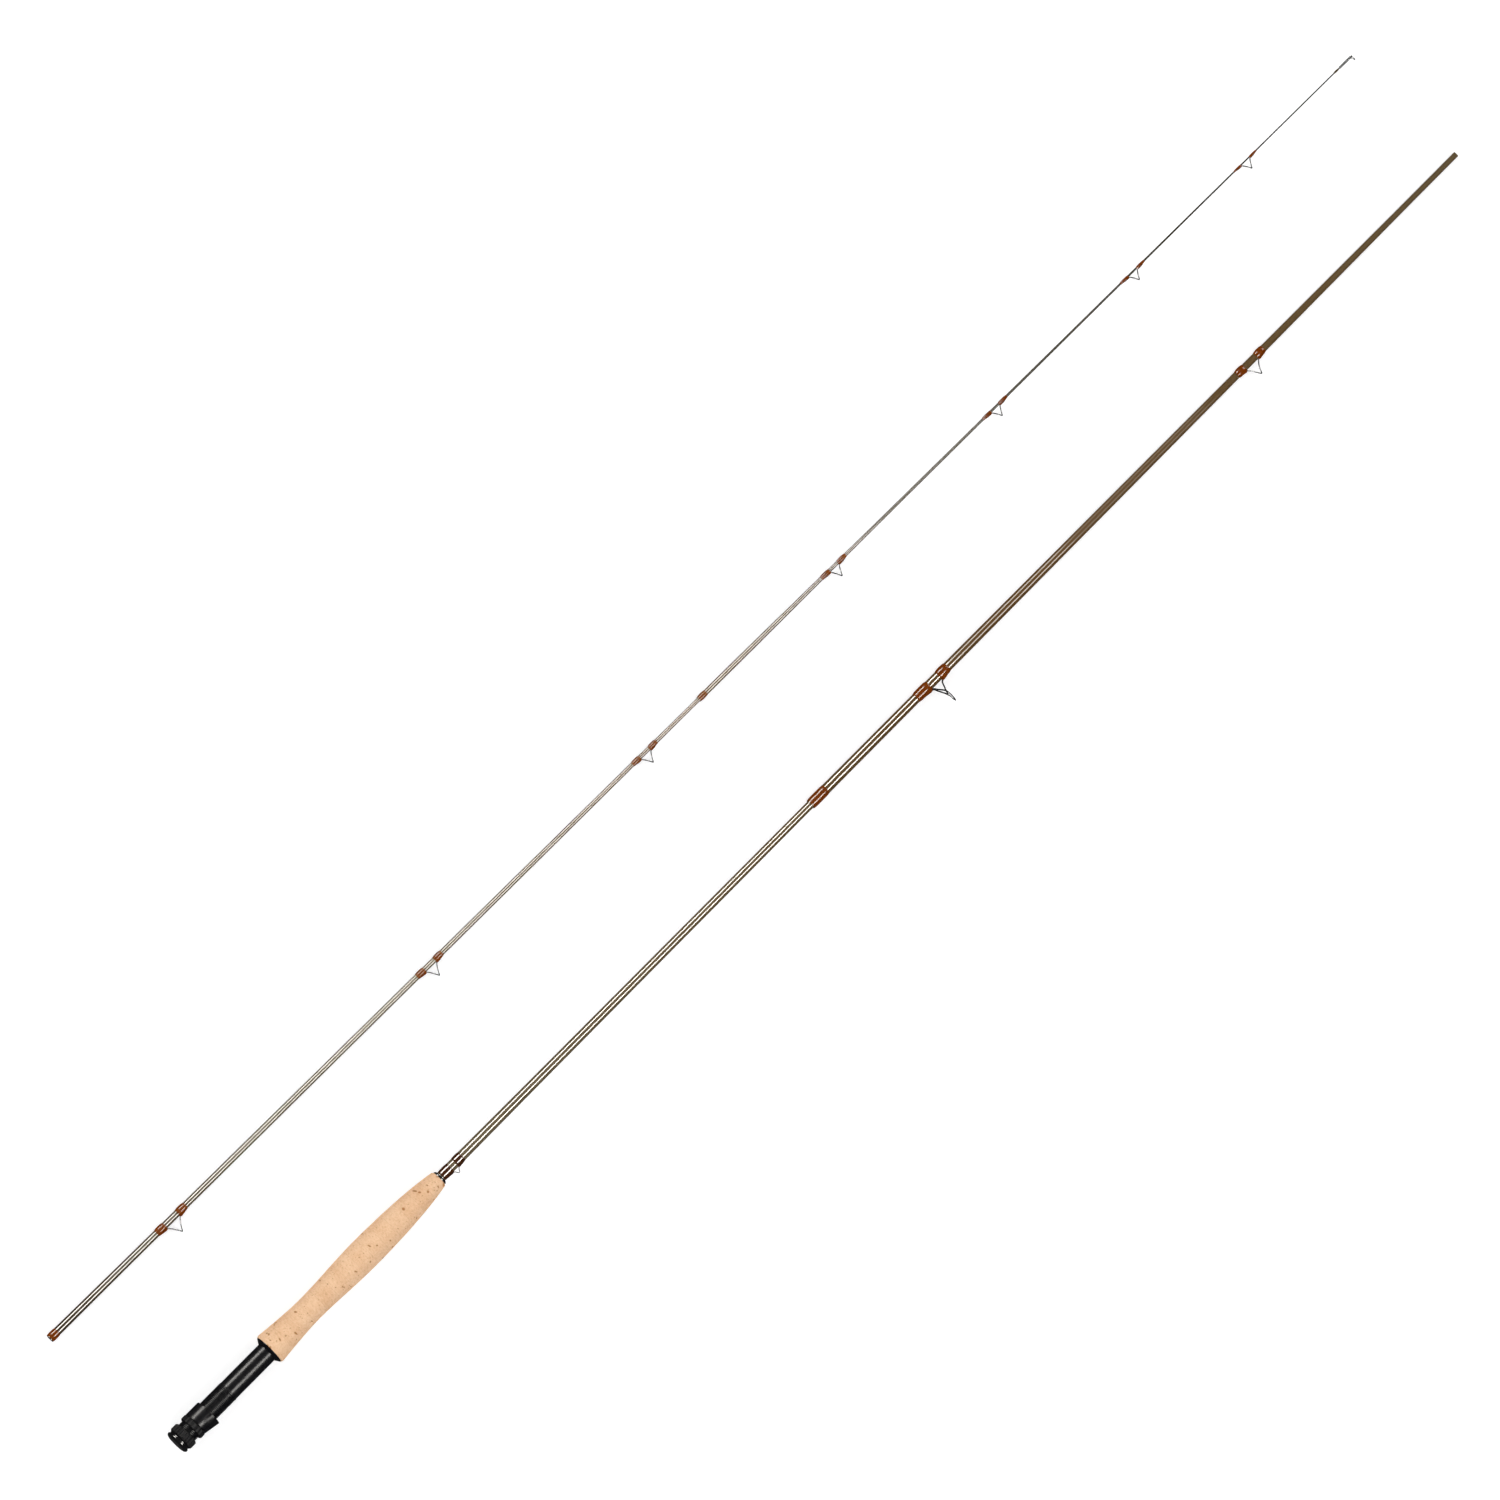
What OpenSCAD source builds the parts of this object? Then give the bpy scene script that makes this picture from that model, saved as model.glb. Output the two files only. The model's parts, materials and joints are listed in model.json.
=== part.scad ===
// Four-piece fly rod, laid out as two joined halves side by side.
// The butt half is the handle section and the lower mid section, along +X from the butt cap.
// The tip half is the upper mid section and the tip section, beside it on the +Y side.
// +Z is up, the guides point to -Y or a little up from it, and every size is in millimetres.

/* [Layout] */
// Length of the butt half, from the butt cap to the end of its spigot
butt_half_l = 1393; // [1385:1:1400]
// Length of the tip half, from its socket mouth to the tip-top
tip_half_l = 1399.6; // [1399.6:0.1:1402]
// Where the tip half's socket mouth lies, along X
tip_x = -9.8; // [-30:0.1:30]
// Where the tip half's socket mouth lies, along Y
tip_y = 124; // [100:0.1:200]
// Height of the tip half's axis above the floor
tip_h = 4.2; // [4.2:0.1:8]
// Angle in plan between the two halves, in degrees
tip_yaw = 0.61; // [0:0.01:2]

/* [Blanks] */
// Wall of the handle section's tube
butt_wall = 0.9; // [0.6:0.1:1.2]
// Wall of the lower mid section's tube
lower_wall = 0.75; // [0.6:0.05:1]
// Wall of the upper mid section's tube, past its socket
upper_wall = 1; // [0.9:0.1:1.2]
// Wall of the tip section's tube
tip_wall = 0.5; // [0.4:0.1:0.7]

/* [Ferrules] */
// Length of each spigot that goes into the next section's socket
spigot_l = 50; // [40:1:55]
// Radial clearance between a spigot and its socket
ferrule_gap = 0.05; // [0.02:0.01:0.1]
// Length of the thread wrap on the lower mid section's socket
lower_wrap_l = 16.5; // [10:0.5:20]
// Length of the thread wrap on the two upper sockets
upper_wrap_l = 7.5; // [5:0.5:12]

/* [Grip] */
// Where the grip starts, from the butt end
grip_x = 101.2; // [101:0.1:104]
// Length of the grip
grip_l = 184.3; // [182:0.1:186]
// Number of cork rings glued together
cork_rings = 14; // [12:1:16]
// Diameter at the flared rear edge, before the edge is rounded off
flare_d = 27.4; // [27:0.1:28]
// Diameter of the waist
waist_d = 21; // [20:0.1:23]
// Diameter of the palm swell
swell_d = 25.1; // [24:0.1:26]
// Distance from the rear edge to the waist
waist_x = 43; // [36:1:48]
// Distance from the rear edge to the palm swell
swell_x = 103; // [98:1:108]
// Half length of the ellipse that the nose follows
nose_reach = 98; // [97:1:104]

/* [Reel seat] */
// Outer diameter of the smooth barrel
barrel_d = 16.9; // [16:0.1:17.2]
// Diameter over the thread's crests
thread_d = 17.5; // [17.5:0.1:17.8]
// Depth of the thread
thread_depth = 0.5; // [0.3:0.1:0.6]
// Pitch of the thread
thread_pitch = 1.3; // [1.2:0.1:1.5]
// Where the thread ends, from the butt end
thread_end_x = 56.3; // [50:0.1:60]
// Outer diameter of the butt cap
cap_d = 20.2; // [19:0.1:21]
// Outer diameter of the two lock rings
ring_d = 21.2; // [20:0.1:22]
// Number of grip teeth round each lock ring
ring_teeth = 24; // [16:1:32]
// Outer diameter of the sliding hood
hood_d = 20.6; // [20.4:0.1:21.4]
// How far the sliding hood's foot pocket swells out at its mouth
hood_swell = 1.9; // [1.5:0.1:2.5]

/* [Guides] */
// Distance from the butt half's axis to the centre of the stripping guide's ring
strip_h = 18; // [17:0.1:19]
// Outer diameter of the stripping guide's ring
strip_d = 12.2; // [11:0.1:12.2]
// Bore of the stripping guide's insert
strip_bore_d = 9.4; // [9:0.1:9.6]
// Half the width of the largest snake guide's loop, to the middle of its wire
loop_w = 3.5; // [3:0.1:3.7]
// How far the guides of the lower mid section are rolled up from the floor's plane, in degrees
mid_roll = 18; // [0:1:20]
// Thickness of the thread wraps on the ferrules, with their varnish
wrap_t = 0.3; // [0.2:0.05:0.4]
// Thickness of the thread wraps over the guides' feet, at their middle
foot_wrap_t = 0.6; // [0.4:0.05:0.8]

/* [Hidden] */
$fn = 64;

// Outer diameters along each section, as pairs of place along its half and diameter
butt_taper = [[12, 8.9], [309, 8.3], [385, 7.6], [480, 7.2], [685, 6.5], [739, 6.5]];
lower_taper = [
    [689, 8.2], [790, 7.9], [906, 7.3], [1030, 6.6], [1152, 5.9], [1228, 5.3], [1343, 4.4]
];
upper_taper = [
    [0, 6.8], [77, 5.9], [153, 5.4], [260, 4.9], [383, 4.5], [506, 4.1], [690, 3.3], [741, 3.3]
];
tip_taper = [
    [696, 4.4], [750, 4.15], [812, 3.4], [858, 2.8], [919, 2.45], [1149, 1.7], [1302, 1.1], [1396, 1]
];

// Snake guides on each section: centre, half the gap between feet, height, and foot wrap length
lower_guides = [[1167.8, 6.2, 13.3, 8.3]];
upper_guides = [[129.8, 6.7, 13, 8.7], [406.9, 5.3, 11.5, 8], [637.8, 4.9, 10.2, 7.9]];
tip_guides = [
    [841.1, 4.3, 10, 8.8], [1014.7, 4.2, 8.7, 8.7], [1162.8, 4.2, 8.2, 8.6], [1284.4, 4.2, 7.9, 7.9]
];

// The butt half rests on the grip's rim and on the end of its spigot, so it slopes a little
rim_round = 2;
rim_x = grip_x + rim_round;
rim_d = grip_d(rim_round);
lower_spigot_d = lower_taper[len(lower_taper) - 1][1];
butt_pitch = atan((rim_d - lower_spigot_d) / 2 / (butt_half_l - rim_x));
floor_z = -rim_x * sin(butt_pitch) - rim_d / 2 * cos(butt_pitch);
tip_z = floor_z + tip_h;

// Small clearances and edges
glue_gap = 0.1;
slip_gap = 0.1;
wrap_gap = 0.03;
past = 1;

// Ferrules
lower_mouth_x = lower_taper[0][0];
upper_mouth_x = 0;
tip_mouth_x = tip_taper[0][0];
socket_extra = 2;
mouth_lip = 0.5;
upper_spigot_l = spigot_l - 5;
tip_shoulder_x = 812;
tip_hollow_end_x = 919;

// Reel seat stations along the butt half
cap_l = 4.6;
rear_ring_x = [4.9, 11.5];
front_ring_x = [16, 21];
hood_x = [21.3, 34.5];
fixed_hood_x = [grip_x - 2.3, grip_x + 10];
flange_d = 25;
barrel_bore_d = 14.4;
insert_d = 22.4;
thread_start_x = 5.2;
pocket_half_w = 6.5;
arbor_x = [20, 55, 88];
arbor_l = 15;

// Winding check, keeper and stripping guide stations
check_d = 12.3;
check_l = 2;
keeper_wraps = [[288, 297.5], [302.4, 309.8]];
keeper_wrap_t = 0.25;
keeper_h = 3.2;
strip_x = 823.6;
strip_wraps = [[804, 818], [828, 838]];
strip_ring_w = 0.8;
strip_insert_w = 0.9;
strip_insert_d = 10.6;
strip_wire_r = 0.6;

// A wrap's varnish in profile: share of its length, and share of its greatest thickness
sleeve_profile = [
    [0, 0], [0, 0.25], [0.12, 0.6], [0.3, 0.93], [0.5, 1], [0.7, 0.93], [0.88, 0.6], [1, 0.25], [1, 0]
];

// Wires, and the ridges over guide feet: radius at the foot's tip and next to the guide
snake_wire_r = 0.45;
keeper_wire_r = 0.35;
foot_tip_r = 0.2;
keeper_ridge = [0.35, 0.8];
strip_ridge = [0.45, 1.6];
wire_sides = 8;
loop_steps = 24;
foot_clear = 0.02;

// Tip-top
tip_tube_x = [1386, 1398.6];
tip_tube_d = 1.9;
tip_wrap_l = 6;
tip_ring_r = 2;
tip_wire_r = 0.4;
tip_brace_r = 0.28;

// Profiles

function taper_d(taper, x) = lookup(x, taper);

// Grip diameter at a distance from its rear edge: a flare, a smooth rise, then an ellipse
function grip_d(x) =
    x < waist_x ? waist_d + (flare_d - waist_d) * pow(1 - x / waist_x, 1.5) :
    x < swell_x ? waist_d + (swell_d - waist_d) * (1 - cos(180 * (x - waist_x) / (swell_x - waist_x))) / 2 :
    swell_d * sqrt(1 - pow((x - swell_x) / nose_reach, 2));

// Outline of a turned sleeve, thickest in its middle, whose ends fall away in the varnish
function sleeve_outline(x0, x1, r_in, t) = [
    for (s = sleeve_profile) [r_in + s[1] * t, x0 + s[0] * (x1 - x0)]
];

// Wire paths

function unit(v) = v / norm(v);
function clamp_index(list, i) = list[max(0, min(len(list) - 1, i))];
function tangent(path, i) = unit(clamp_index(path, i + 1) - clamp_index(path, i - 1));
function square_to(v, t) = unit(v - (v * t) * t);
function side_vectors(path, i, side) =
    i == len(path) ? [] :
    let (s = square_to(side, tangent(path, i))) concat([s], side_vectors(path, i + 1, s));

// A smooth curve through a short list of points, in steps per span
function curve_point(p, i, t) =
    let (a = clamp_index(p, i - 1), b = p[i], c = p[i + 1], d = clamp_index(p, i + 2))
    0.5 * (2 * b + (c - a) * t + (2 * a - 5 * b + 4 * c - d) * t * t + (3 * b - a - 3 * c + d) * t * t * t);
function curve(p, steps) = concat(
    [for (i = [0 : len(p) - 2], k = [0 : steps - 1]) curve_point(p, i, k / steps)],
    [p[len(p) - 1]]
);

// A closed tube along a path, with a radius for each point
module wire(path, radii, side = [0, 0, 1]) {
    n = wire_sides;
    sides = side_vectors(path, 0, side);
    points = [
        for (i = [0 : len(path) - 1], k = [0 : n - 1])
            let (s = sides[i], u = cross(tangent(path, i), s))
            path[i] + radii[i] * (cos(360 * k / n) * s + sin(360 * k / n) * u)
    ];
    walls = [
        for (i = [0 : len(path) - 2], k = [0 : n - 1])
            let (a = i * n + k, b = i * n + (k + 1) % n)
            [a, a + n, b + n, b]
    ];
    start = [for (k = [0 : n - 1]) k];
    finish = [for (k = [n - 1 : -1 : 0]) (len(path) - 1) * n + k];
    polyhedron(points, concat(walls, [start], [finish]), convexity = 6);
}

// Places

module lay_butt() {
    rotate([0, butt_pitch, 0]) children();
}

// The lower mid section is turned a little in its ferrule, so its guides point up from the floor
module lay_lower_mid() {
    lay_butt() rotate([-mid_roll, 0, 0]) children();
}

module lay_tip() {
    translate([tip_x, tip_y, tip_z]) rotate([0, 0, -tip_yaw]) children();
}

// A solid turned about the rod's axis, from an outline of [radius, place along the rod]
module turned(outline) {
    rotate([0, 90, 0]) rotate_extrude() polygon(outline);
}

module rod_cylinder(x0, x1, d) {
    translate([x0, 0, 0]) rotate([0, 90, 0]) cylinder(h = x1 - x0, d = d);
}

// Blanks

// A tapered tube, with an outer taper, a wall, and a stretch of bore from its mouth
module tube(taper, end_x, wall, socket_d, socket_l) {
    start_x = taper[0][0];
    outer = concat(
        [for (p = taper) if (p[0] < end_x) [p[1] / 2, p[0]]],
        [[taper_d(taper, end_x) / 2, end_x]]
    );
    bore_from = socket_l > 0 ? start_x + socket_l : start_x;
    inner = [
        for (i = [len(outer) - 1 : -1 : 0]) if (outer[i][1] > bore_from) [outer[i][0] - wall, outer[i][1]]
    ];
    throat = taper_d(taper, bore_from) / 2 - wall;
    mouth = socket_l > 0
        ? [[min(throat, socket_d / 2), bore_from], [socket_d / 2, bore_from], [socket_d / 2, start_x]]
        : [[throat, start_x]];
    turned(concat(outer, inner, mouth));
}

module butt_blank() {
    color("#6b5a34") lay_butt() tube(butt_taper, lower_mouth_x + spigot_l, butt_wall, 0, 0);
}

module lower_mid_blank() {
    taper = concat(lower_taper, [[butt_half_l, lower_spigot_d]]);
    bore = taper_d(butt_taper, lower_mouth_x + spigot_l) + 2 * ferrule_gap;
    color("#6e4d26") lay_lower_mid() tube(taper, butt_half_l, lower_wall, bore, spigot_l + socket_extra);
}

module upper_mid_blank() {
    bore = lower_spigot_d + 2 * ferrule_gap;
    end_x = tip_mouth_x + upper_spigot_l;
    color("#6b5c38") lay_tip() tube(upper_taper, end_x, upper_wall, bore, spigot_l + socket_extra);
}

// The tip section is hollow as far as its wall allows, and solid from there
module tip_blank() {
    bore = taper_d(upper_taper, tip_mouth_x + upper_spigot_l) + 2 * ferrule_gap;
    outer = [for (p = tip_taper) [p[1] / 2, p[0]]];
    inner = [
        [0, tip_taper[len(tip_taper) - 1][0]],
        [0, tip_hollow_end_x],
        [taper_d(tip_taper, tip_hollow_end_x) / 2 - tip_wall, tip_hollow_end_x],
        [taper_d(tip_taper, tip_shoulder_x) / 2 - tip_wall, tip_shoulder_x],
        [bore / 2, tip_mouth_x + upper_spigot_l + socket_extra],
        [bore / 2, tip_mouth_x]
    ];
    color("#4a4a34") lay_tip() turned(concat(outer, inner));
}

// Thread wraps

module wrap_sleeve(taper, x0, x1, t = wrap_t) {
    turned(sleeve_outline(x0, x1, taper_d(taper, x0) / 2 + wrap_gap, t));
}

// Wraps are thinner on a thin blank, and so are the ridges over a snake guide's feet
function foot_wrap_thickness(d) = foot_wrap_t * min(1, 0.3 + d / 8);
function snake_ridge(d) = [0.35, min(1.3, 0.55 + 0.13 * d)];

// The ridge that the thread makes over a guide foot, thick towards the guide
module foot_ridge(taper, outer_x, inner_x, thin_r, thick_r) {
    rest_r = taper_d(taper, min(outer_x, inner_x)) / 2 + wrap_gap;
    l = abs(inner_x - outer_x);
    flip = inner_x > outer_x ? 0 : 180;
    difference() {
        translate([outer_x, 0, 0]) rotate([0, 0, flip]) translate([0, (flip == 0 ? -1 : 1) * rest_r, 0])
            rotate([0, 90, 0]) cylinder(h = l, r1 = thin_r, r2 = thick_r);
        rod_cylinder(min(outer_x, inner_x) - past, max(outer_x, inner_x) + past, 2 * rest_r);
    }
}

module foot_wraps(taper, wraps, ridge, t) {
    wrap_sleeve(taper, wraps[0][0], wraps[0][1], t);
    wrap_sleeve(taper, wraps[1][0], wraps[1][1], t);
    foot_ridge(taper, wraps[0][0] + past, wraps[0][1] - mouth_lip, ridge[0], ridge[1]);
    foot_ridge(taper, wraps[1][1] - past, wraps[1][0] + mouth_lip, ridge[0], ridge[1]);
}

module hook_keeper_wraps() {
    color("#55300f") lay_butt() foot_wraps(butt_taper, keeper_wraps, keeper_ridge, keeper_wrap_t);
}

module lower_mid_ferrule_wrap() {
    start = lower_mouth_x + mouth_lip;
    color("#82410a") lay_lower_mid() wrap_sleeve(lower_taper, start, start + lower_wrap_l);
}

module upper_mid_ferrule_wrap() {
    start = upper_mouth_x + mouth_lip;
    color("#82410a") lay_tip() wrap_sleeve(upper_taper, start, start + upper_wrap_l);
}

module tip_ferrule_wrap() {
    start = tip_mouth_x + mouth_lip;
    color("#82410a") lay_tip() wrap_sleeve(tip_taper, start, start + upper_wrap_l);
}

module tip_top_wrap() {
    color("#5a4520") lay_tip() wrap_sleeve(
        tip_taper, tip_tube_x[0] - tip_wrap_l, tip_tube_x[0] - mouth_lip
    );
}

module snake_wraps(taper, guide) {
    c = guide[0];
    gap = guide[1];
    l = guide[3];
    d = taper_d(taper, c);
    wraps = [[c - gap - l, c - gap], [c + gap, c + gap + l]];
    foot_wraps(taper, wraps, snake_ridge(d), foot_wrap_thickness(d));
}

// Grip and handle trim

module cork_ring(i) {
    l = grip_l / cork_rings;
    steps = 5;
    x0 = grip_x + i * l;
    rim = [for (a = [0 : 30 : 90]) [rim_d / 2 - 1.2 * (1 - sin(a)), x0 + rim_round * (1 - cos(a))]];
    edge = i == 0 ? rim : [[grip_d(i * l) / 2, x0]];
    nose = i == cork_rings - 1 ? 0.8 : 0;
    body = [for (k = [1 : steps - 1]) [grip_d(i * l + k * l / steps) / 2, x0 + k * l / steps]];
    last = [[grip_d((i + 1) * l - nose) / 2, x0 + l - nose], [grip_d((i + 1) * l) / 2 - nose, x0 + l]];
    bore = [for (k = [1 : -1 : 0]) [taper_d(butt_taper, x0 + k * l) / 2 + glue_gap, x0 + k * l]];
    turned(concat(edge, body, last, bore));
}

module cork_grip() {
    color("#f0c89b") lay_butt() difference() {
        for (i = [0 : cork_rings - 1]) cork_ring(i);
        rod_cylinder(grip_x - past, fixed_hood_x[1], insert_d + 2 * glue_gap);
    }
}

module winding_check() {
    x0 = grip_x + grip_l;
    r_in = taper_d(butt_taper, x0) / 2 + wrap_gap;
    r = check_d / 2;
    color("#151515") lay_butt() turned([
        [r_in, x0], [r, x0], [r, x0 + 0.45 * check_l], [r - 0.55, x0 + 0.8 * check_l],
        [r - 1.15, x0 + check_l], [r_in, x0 + check_l]
    ]);
}

// A small bail for the fly, its two feet under the wraps
module hook_keeper() {
    rest = taper_d(butt_taper, keeper_wraps[1][0]) / 2 + keeper_wire_r + foot_clear;
    a = keeper_wraps[0][1];
    b = keeper_wraps[1][0];
    mid = (a + b) / 2;
    points = [
        [a - 6, -rest, 0], [a - 1, -rest, 0], [a + 0.5, -rest - 0.8, 0], [mid, -rest - keeper_h, 0],
        [b - 0.5, -rest - 0.8, 0], [b + 1, -rest, 0], [b + 5, -rest, 0]
    ];
    path = curve(points, 4);
    color("#c9c9c9") lay_butt() wire(path, [for (p = path) keeper_wire_r]);
}

// Reel seat

module reel_seat_barrel() {
    turns = floor((thread_end_x - thread_start_x) / thread_pitch);
    crest = thread_d / 2;
    thread = [
        for (i = [0 : turns - 1], k = [0, 1])
            [k == 0 ? crest : crest - thread_depth, thread_start_x + (i + k / 2) * thread_pitch]
    ];
    end = thread_start_x + turns * thread_pitch;
    color("#1b1b1d") lay_butt() turned(concat(
        [[barrel_bore_d / 2, cap_l], [crest, cap_l]],
        thread,
        [[crest, end], [crest, end + 0.5], [barrel_d / 2, end + 1]],
        [[barrel_d / 2, fixed_hood_x[1]], [barrel_bore_d / 2, fixed_hood_x[1]]]
    ));
}

module seat_arbors() {
    color("#b08d5e") lay_butt() for (x = arbor_x) turned([
        [taper_d(butt_taper, x) / 2 + glue_gap, x],
        [barrel_bore_d / 2 - glue_gap, x],
        [barrel_bore_d / 2 - glue_gap, x + arbor_l],
        [taper_d(butt_taper, x) / 2 + glue_gap, x + arbor_l]
    ]);
}

// The fixed hood's flange meets the cork, and its foot pocket runs in under the grip
module fixed_hood() {
    x0 = fixed_hood_x[0];
    x1 = fixed_hood_x[1];
    flange_r = flange_d / 2;
    color("#17171a") lay_butt() difference() {
        turned([
            [barrel_d / 2 + glue_gap, x0], [flange_r - 3, x0], [flange_r - 2.6, x0 + 0.3],
            [flange_r, grip_x - 0.3], [flange_r, grip_x], [insert_d / 2, grip_x], [insert_d / 2, x1],
            [barrel_d / 2 + glue_gap, x1]
        ]);
        intersection() {
            rod_cylinder(x0 - past, x1 - 1.5, 18.8);
            translate([x0 - past, -12, -pocket_half_w]) cube([x1 - x0, 12, 2 * pocket_half_w]);
        }
    }
}

module seat_end_cap() {
    rim = cap_d / 2;
    spigot_r = barrel_bore_d / 2 - glue_gap;
    groove = [for (a = [0 : 30 : 180]) [rim - 0.35 - 0.55 * sin(a), 3.7 - 0.8 * cos(a)]];
    color("#141416") lay_butt() turned(concat(
        [[0, 0], [rim - 2.35, 0], [rim - 1.2, 0.35], [rim - 0.4, 1], [rim, 1.9], [rim, 2.6]],
        groove,
        [[rim - 0.5, cap_l], [spigot_r, cap_l], [spigot_r, cap_l + 6], [0, cap_l + 6]]
    ));
}

// A lock ring with rounded teeth and bevelled rims
module lock_ring(x, tooth) {
    r = ring_d / 2;
    bevel = 0.7;
    steps = 8 * ring_teeth;
    outline = [
        for (i = [0 : steps - 1])
            let (a = 360 * i / steps, rr = r - tooth * abs(sin(ring_teeth * a / 2)))
            [rr * cos(a), rr * sin(a)]
    ];
    difference() {
        intersection() {
            translate([x[0], 0, 0]) rotate([0, 90, 0]) linear_extrude(x[1] - x[0]) polygon(outline);
            turned([
                [0, x[0]], [r - bevel, x[0]], [r + 0.1, x[0] + bevel], [r + 0.1, x[1] - bevel],
                [r - bevel, x[1]], [0, x[1]]
            ]);
        }
        rod_cylinder(x[0] - past, x[1] + past, thread_d + 2 * slip_gap);
    }
}

module front_lock_ring() {
    color("#1e1e20") lay_butt() lock_ring(front_ring_x, 0.35);
}

module rear_lock_ring() {
    color("#1e1e20") lay_butt() lock_ring(rear_ring_x, 0.6);
}

// A tilted cylinder whose near edge sets the foot pocket's slope
module pocket_cylinder(d, swell) {
    l = hood_x[1] - hood_x[0];
    slope = atan(swell / l);
    translate([hood_x[0], 0, 0]) rotate([0, 0, -slope]) rod_cylinder(-5, l + 5, d);
}

module sliding_hood() {
    x0 = hood_x[0];
    x1 = hood_x[1];
    slab = [x1 - x0, 40, 40];
    color("#19191b") lay_butt() difference() {
        union() {
            turned([
                [0, x0], [hood_d / 2 - 0.3, x0], [hood_d / 2, x0 + 0.3],
                [hood_d / 2, x1 - 0.4], [hood_d / 2 - 0.4, x1], [0, x1]
            ]);
            intersection() {
                pocket_cylinder(hood_d - 0.4, hood_swell + 0.2);
                translate([x0, -20, -20]) cube(slab);
            }
        }
        rod_cylinder(x0 - past, x1 + past, thread_d + 2 * slip_gap);
        intersection() {
            pocket_cylinder(thread_d + 0.6, hood_swell + 0.3);
            translate([x0 + 3, -20, -pocket_half_w]) cube([x1 - x0, 20, 2 * pocket_half_w]);
        }
    }
}

// Stripping guide

module stripping_guide_ring() {
    r = strip_bore_d / 2;
    outer = strip_insert_d / 2;
    half = strip_insert_w / 2;
    color("#101012") lay_lower_mid() translate([strip_x, -strip_h, 0]) turned([
        [r, -half + 0.15], [r + 0.15, -half], [outer - foot_clear, -half + 0.1],
        [outer - foot_clear, half - 0.1], [r + 0.15, half], [r, half - 0.15]
    ]);
}

// Radii along one of the frame's wires, whose foot is ground thin over its first four steps
function strip_radii(path) = [
    for (i = [0 : len(path) - 1]) foot_tip_r + (strip_wire_r - foot_tip_r) * min(1, i / 4)
];

module stripping_guide_frame() {
    half = strip_ring_w / 2;
    inner = strip_insert_d / 2;
    outer = strip_d / 2;
    surface_r = taper_d(lower_taper, strip_wraps[0][0]) / 2;
    rest = surface_r + strip_wire_r + foot_clear;
    tip_rest = surface_r + foot_tip_r + foot_clear;
    side_r = inner + strip_wire_r + foot_clear;
    side_y = -strip_h + side_r * cos(60);
    side_z = side_r * sin(60);
    near_y = -strip_h + (inner + outer) / 2;
    rear = strip_wraps[0];
    front = strip_wraps[1];
    color("#161618") lay_lower_mid() {
        translate([strip_x, -strip_h, 0]) turned([
            [inner, -half], [outer - 0.3, -half], [outer, -half + 0.25], [outer, half - 0.25],
            [outer - 0.3, half], [inner, half]
        ]);
        for (side = [-1, 1]) {
            path = curve([
                [rear[0] + 1.5, -tip_rest, side * 0.3], [rear[1] - 4, -rest, side * 0.62],
                [rear[1], -rest - 0.3, side * 0.75], [rear[1] + 1.6, -rest - 3, side * 1.9],
                [strip_x - 1.1, side_y + 2.4, side * (side_z - 0.9)], [strip_x - 0.3, side_y, side * side_z]
            ], 4);
            wire(path, strip_radii(path));
        }
        front_path = curve([
            [front[1] - 1.5, -tip_rest, 0], [front[0] + 3, -rest, 0], [front[0] - 0.8, -rest - 0.9, 0],
            [strip_x + 1.4, near_y + 2.2, 0], [strip_x + 0.4, near_y, 0]
        ], 4);
        wire(front_path, strip_radii(front_path));
    }
}

module stripping_guide_wraps() {
    t = foot_wrap_thickness(taper_d(lower_taper, strip_x));
    color("#82410a") lay_lower_mid() foot_wraps(lower_taper, strip_wraps, strip_ridge, t);
}

// Snake guides

// Half of the path from one foot tip to the top of the loop, for side = -1 or 1
function snake_half(guide, rest, w, side) = [
    for (k = [0 : loop_steps / 2])
        let (u = 1 - 2 * k / loop_steps)
        [
            guide[0] + side * guide[1] * pow(u, 2.4),
            -rest - (guide[2] - snake_wire_r - rest) * cos(90 * u),
            side * w * sin(180 * u)
        ]
];
function reversed(list) = [for (i = [len(list) - 1 : -1 : 0]) list[i]];
function without_first(list) = [for (i = [1 : len(list) - 1]) list[i]];
function snake_foot(guide, rest, tip_rest, side) = [
    [guide[0] + side * (guide[1] + guide[3] - 1.5), -tip_rest, 0],
    [guide[0] + side * (guide[1] + guide[3] / 2), -(rest + tip_rest) / 2, 0],
    [guide[0] + side * (guide[1] + 1), -rest, 0]
];

module snake_guide(taper, guide) {
    surface_r = taper_d(taper, guide[0] - guide[1] - guide[3]) / 2;
    rest = surface_r + snake_wire_r + foot_clear;
    tip_rest = surface_r + foot_tip_r + foot_clear;
    w = loop_w * (0.45 + 0.55 * guide[2] / 13);
    start = concat(snake_foot(guide, rest, tip_rest, -1), snake_half(guide, rest, w, -1));
    end = concat(snake_foot(guide, rest, tip_rest, 1), snake_half(guide, rest, w, 1));
    path = concat(start, without_first(reversed(end)));
    last = len(path) - 1;
    middle_r = (foot_tip_r + snake_wire_r) / 2;
    radii = [
        for (i = [0 : last])
            let (from_end = min(i, last - i))
            from_end == 0 ? foot_tip_r : from_end == 1 ? middle_r : snake_wire_r
    ];
    wire(path, radii);
}

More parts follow.
